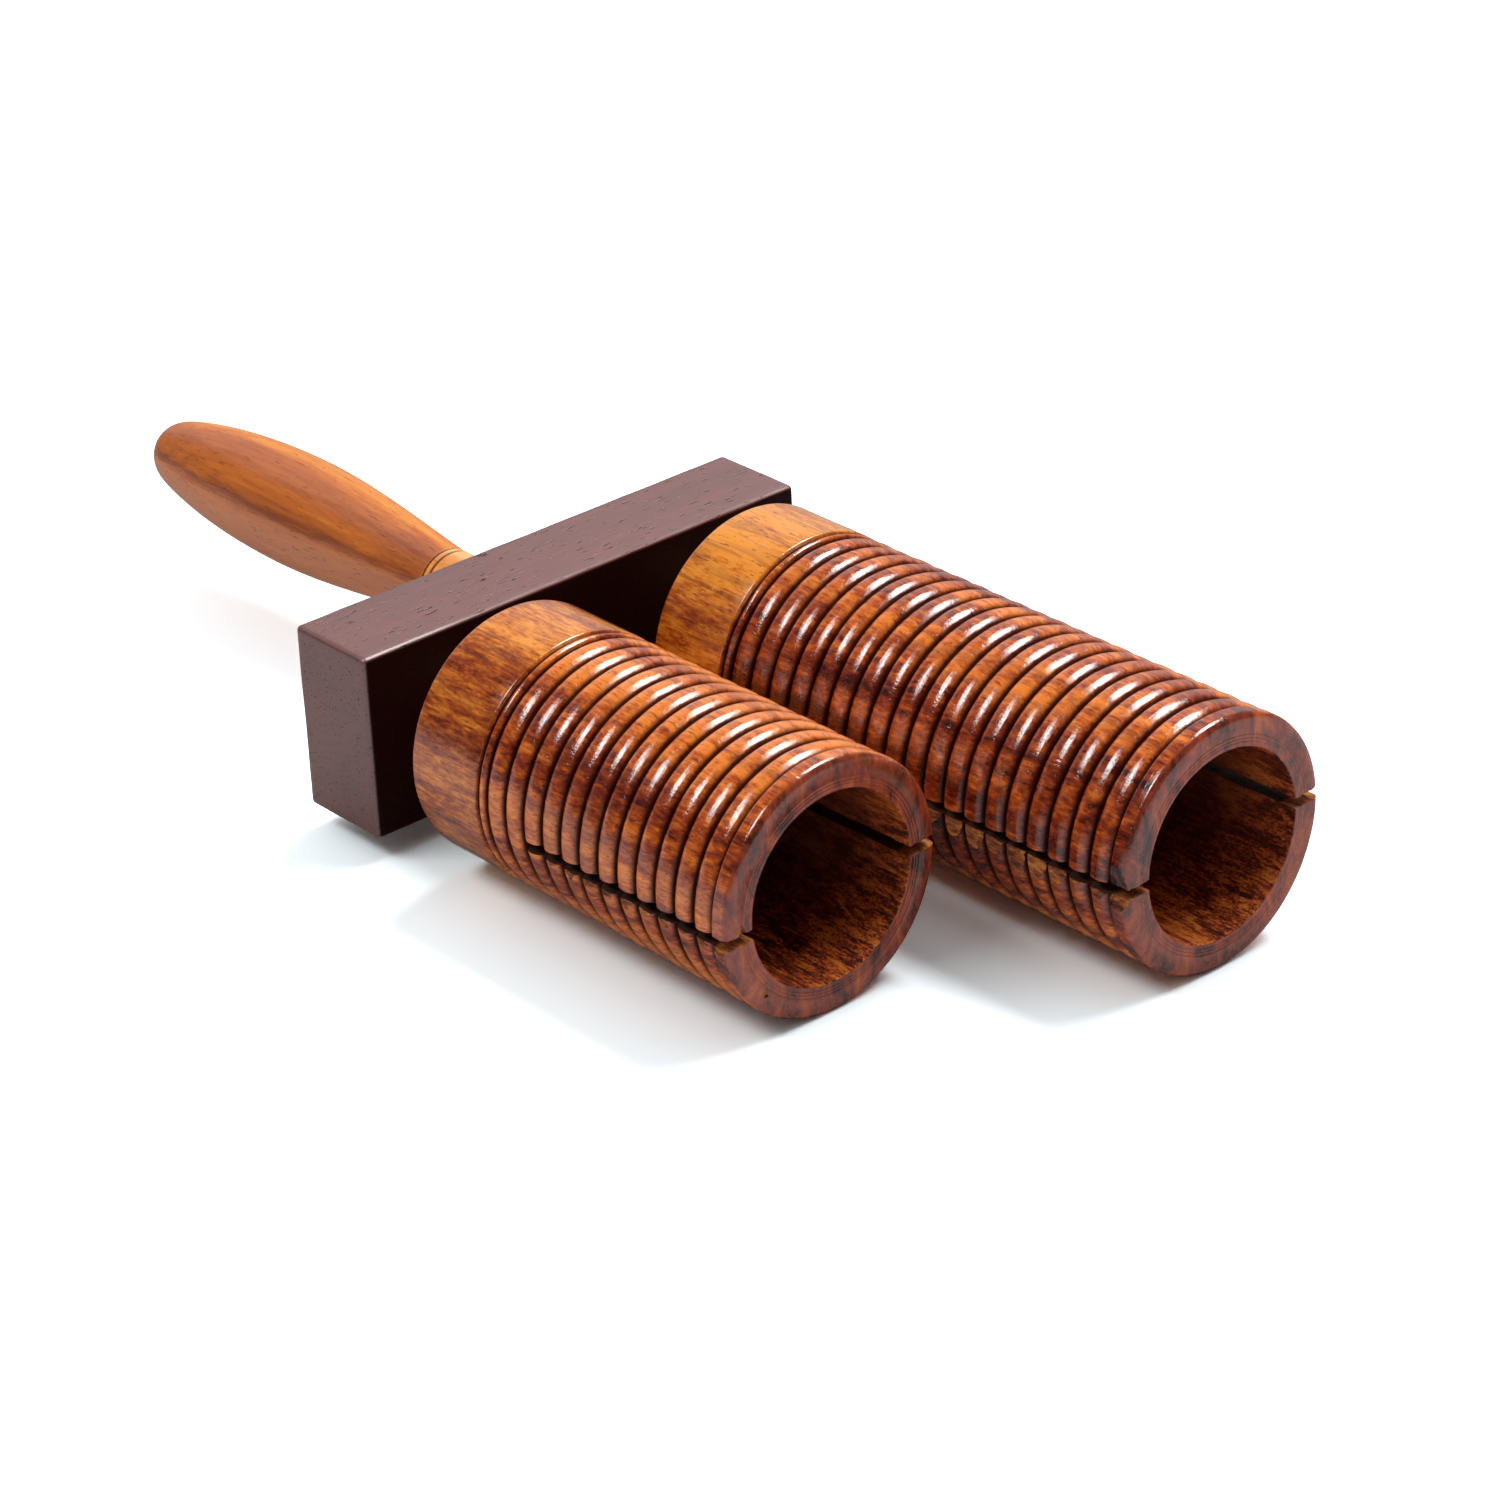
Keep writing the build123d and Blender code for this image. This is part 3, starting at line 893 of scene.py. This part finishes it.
def satin_handle_wood(middle_z, neck_x):
    """Golden brown satin wood, with mauve brown bands, a painted mauve sheen along its underside, and
    fine dark pores along X, paler at the neck.
    """
    material, place = new_material("satin_handle_wood")
    along = stretched(material, place, (0.05, 1.0, 1.0), (3.0, 5.0, 1.0))
    figure = noise(material, along, 0.16, 3, 0.5, 0.6)
    streaks = noise(material, along, 0.7, 4, 0.6)
    fibres = noise(material, along, 3.0, 2, 0.6)
    pore_field = noise(material, stretched(material, place, (0.14, 1.0, 1.0)), 2.2, 1, 0.5)
    pores = spread(material, pore_field, 0.62, 0.72)

    axes = parts(material, place)
    from_middle = minus(material, axes["Z"], middle_z)
    turn = sums(material, "ARCTAN2", from_middle, times(material, axes["Y"], -1.0))
    wander = times(material, minus(material, streaks, 0.5), 0.5)
    turn_share = sums(material, "DIVIDE", plus(material, turn, wander), math.pi)
    tone = spread(material, axes["X"], neck_x - NECK_BLEND, neck_x + NECK_BLEND, 0.0, NECK_PALENESS)
    tone = plus(material, tone, grey_ramp(material, turn_share, GOLD_STOPS))
    tone = swung(material, tone, ((figure, 0.35), (streaks, 0.35), (fibres, 0.14)))
    colour = ramp(material, tone, [
        (0.22, (0.160, 0.030, 0.008)),
        (0.40, (0.350, 0.076, 0.012)),
        (0.55, (0.570, 0.136, 0.008)),
        (0.75, (0.820, 0.285, 0.034)),
        (1.00, (0.900, 0.480, 0.180)),
    ])
    # Mauve bands, and a painted mauve sheen along the underside.
    colour = mixed(material, grey_ramp(material, turn_share, MAUVE_AND_SHEEN_STOPS), colour, MAUVE_BROWN_AND_SHEEN)
    colour = mixed(material, times(material, pores, 0.4), colour, HANDLE_PORE)

    squares = plus(
        material, sums(material, "POWER", axes["Y"], 2.0), sums(material, "POWER", from_middle, 2.0),
    )
    reach = sums(material, "SQRT", squares, 0.0)
    in_groove = spread(
        material, reach, NECK_RADIUS - NECK_LINE_FULL, NECK_RADIUS - NECK_LINE_GONE, 0.85, 0.0,
    )
    lines_start = spread(material, axes["X"], neck_x - NECK_LINES_BEFORE, neck_x)
    fade_start, fade_end = (neck_x + after for after in NECK_LINES_AFTER)
    lines_end = spread(material, axes["X"], fade_start, fade_end, 1.0, 0.0)
    on_lines = times(material, in_groove, times(material, lines_start, lines_end))
    colour = mixed(material, on_lines, colour, NECK_LINE)

    roughness = spread(material, streaks, 0.3, 0.7, 0.36, 0.46)
    height = minus(material, times(material, fibres, 0.4), times(material, pores, 0.5))
    finish_wood(
        material, colour, roughness, height, HANDLE_RELIEF,
        Specular_IOR_Level=0.25, Coat_Weight=0.22, Coat_Roughness=0.25, Coat_IOR=1.5,
    )
    return material


def bezier(start, start_pull, end_pull, end, steps):
    """Points along a cubic curve, both ends included."""
    corners = (start, start_pull, end_pull, end)
    points = []
    for step in range(steps + 1):
        t = step / steps
        weights = ((1 - t) ** 3, 3 * t * (1 - t) ** 2, 3 * t * t * (1 - t), t ** 3)
        points.append(tuple(sum(w * corner[i] for w, corner in zip(weights, corners)) for i in (0, 1)))
    return points


def neck_groove(rear_edge):
    """A fine V groove in the neck, from its rear edge to its front edge."""
    return [
        (rear_edge, NECK_RADIUS),
        (rear_edge + NECK_GROOVE_WIDTH / 2, NECK_RADIUS - NECK_GROOVE_DEPTH),
        (rear_edge + NECK_GROOVE_WIDTH, NECK_RADIUS),
    ]


grip_radius = (handle_high.z - handle_low.z) / 2
neck_back = bar_low.x - NECK_LENGTH
belly_x = neck_back - GRIP_TAPER
tip_x = handle_low.x
tail_x = tip_x + TIP_LENGTH
handle_outline = bezier(
    (tip_x, 0), (tip_x, TIP_PULL_OUT),
    (tip_x + TIP_SHOULDER_ALONG, TIP_SHOULDER_OUT), (tail_x, TIP_RADIUS), TIP_STEPS,
)
handle_outline += bezier(
    (tail_x, TIP_RADIUS), (tail_x + TAIL_PULL_ALONG, TIP_RADIUS + TAIL_PULL_OUT),
    (belly_x - BELLY_PULL, grip_radius), (belly_x, grip_radius), TAIL_STEPS,
)[1:]
handle_outline += bezier(
    (belly_x, grip_radius), (belly_x + BELLY_PULL, grip_radius),
    (neck_back - BELLY_PULL, NECK_RADIUS + BELLY_PULL * GRIP_TAPER_SLOPE), (neck_back, NECK_RADIUS),
    GRIP_TAPER_STEPS,
)[1:-1]
handle_outline += neck_groove(neck_back)
handle_outline += neck_groove(neck_back + NECK_GROOVE_STEP)
handle_outline += [
    (bar_low.x, NECK_RADIUS), (bar_low.x, TENON_RADIUS),
    (bar_low.x + TENON_LENGTH, TENON_RADIUS), (bar_low.x + TENON_LENGTH, 0),
]
handle = turn_on_lathe("turned_handle", (0, 0, handle_z), handle_outline, HANDLE_STEPS)
smooth(handle)
handle.data.materials.append(satin_handle_wood(handle_z, neck_back))
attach(handle, "root")
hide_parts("handle")


# Studio: a white floor that keeps the shadow, a white surround that is dim in front, a wide soft lamp
# high behind the long tube and a smaller one to the left of the short one.
FLOOR_SIZE = 8.0
FLOOR_WHITE = (0.86, 0.86, 0.86)
FLOOR_IN_REFLECTIONS = (0.26, 0.26, 0.26)
FLOOR_TO_CAMERA = (1.46, 1.60, 1.65)
LAMP_DISTANCE = 1.6
LAMPS_AIM = (0.05, 0, 0.03)
BEHIND = (-0.76, 0.65, 0.0)
HIGH_BEHIND = (-0.5, 0.43, 0.75)
FILL_IN_FRONT = 0.05
FILL_BEHIND = 0.75
SURROUND_BEHIND = 0.45
SURROUND_IN_FRONT = 0.03


def mirror_ray(material, light_path):
    """1 for a ray that a mirror or glass sends on, 0 for any other."""
    return sums(material, "MAXIMUM", light_path["Is Glossy Ray"], light_path["Is Transmission Ray"])


def white_floor():
    """White paper that looks white to the camera and in reflections."""
    material = bpy.data.materials.new("white_floor")
    material.use_nodes = True
    material.node_tree.nodes.clear()
    light_path = node(material, "ShaderNodeLightPath").outputs
    whiteness = mixed(material, mirror_ray(material, light_path), FLOOR_WHITE, FLOOR_IN_REFLECTIONS)
    whiteness = mixed(material, light_path["Is Camera Ray"], whiteness, FLOOR_TO_CAMERA)
    paper = node(material, "ShaderNodeBsdfDiffuse", {"Color": whiteness})
    node(material, "ShaderNodeOutputMaterial", {"Surface": paper.outputs["BSDF"]})
    return material


def soft_lamp(name, towards, width, height, watts):
    """A soft lamp in the given direction from the object, turned to face it."""
    direction = Vector(towards).normalized()
    bpy.ops.object.light_add(type="AREA", location=direction * LAMP_DISTANCE + Vector(LAMPS_AIM))
    lamp = bpy.context.object
    lamp.name = name
    lamp.rotation_euler = direction.to_track_quat("Z", "Y").to_euler()
    lamp.data.shape = "RECTANGLE"
    lamp.data.size = width
    lamp.data.size_y = height
    lamp.data.energy = watts


bpy.ops.object.select_all(action="DESELECT")
bpy.ops.mesh.primitive_plane_add(size=FLOOR_SIZE)
floor = bpy.context.object
floor.name = "floor"
floor.data.materials.append(white_floor())
soft_lamp("key_lamp", towards=(0.05, 0.47, 0.88), width=1.15, height=0.45, watts=21)
soft_lamp("left_lamp", towards=(-0.20, -0.535, 0.821), width=0.85, height=0.42, watts=7.5)

world = bpy.data.worlds.new("studio")
bpy.context.scene.world = world
world.use_nodes = True
world.node_tree.nodes.clear()
direction = node(world, "ShaderNodeTexCoord").outputs["Generated"]
backness = vector_sums(world, "DOT_PRODUCT", direction, BEHIND)["Value"]
surround = spread(world, backness, 0.45, 0.95, SURROUND_IN_FRONT, SURROUND_BEHIND)
overhead = vector_sums(world, "DOT_PRODUCT", direction, HIGH_BEHIND)["Value"]
fill = spread(world, overhead, -0.2, 0.9, FILL_IN_FRONT, FILL_BEHIND)
world_path = node(world, "ShaderNodeLightPath").outputs
mirrored = mirror_ray(world, world_path)
strength = node(world, "ShaderNodeMix", {0: mirrored, 2: fill, 3: surround}).outputs[0]
strength = node(world, "ShaderNodeMix", {0: world_path["Is Camera Ray"], 2: strength, 3: 1.0}).outputs[0]
sky = node(world, "ShaderNodeBackground", {"Color": (1, 1, 1, 1), "Strength": strength})
node(world, "ShaderNodeOutputWorld", {"Surface": sky.outputs["Background"]})
bpy.context.scene.view_settings.view_transform = "Standard"


# Camera: in front of the mouths, to the short tube's side and above them, at the photograph's viewing
# angle and with its framing.
CAMERA_PLACE = (0.63888, -0.50384, 0.43200)
CAMERA_TURN = (62.114, 2.236, 48.441)
CAMERA_LENS = 113.446
CAMERA_SENSOR = 36.0
CAMERA_NEAREST = 0.01
bpy.ops.object.camera_add(location=CAMERA_PLACE, rotation=[math.radians(turn) for turn in CAMERA_TURN])
camera = bpy.context.object
camera.data.lens = CAMERA_LENS
camera.data.sensor_width = CAMERA_SENSOR
camera.data.sensor_fit = "HORIZONTAL"
camera.data.clip_start = CAMERA_NEAREST
bpy.context.scene.camera = camera
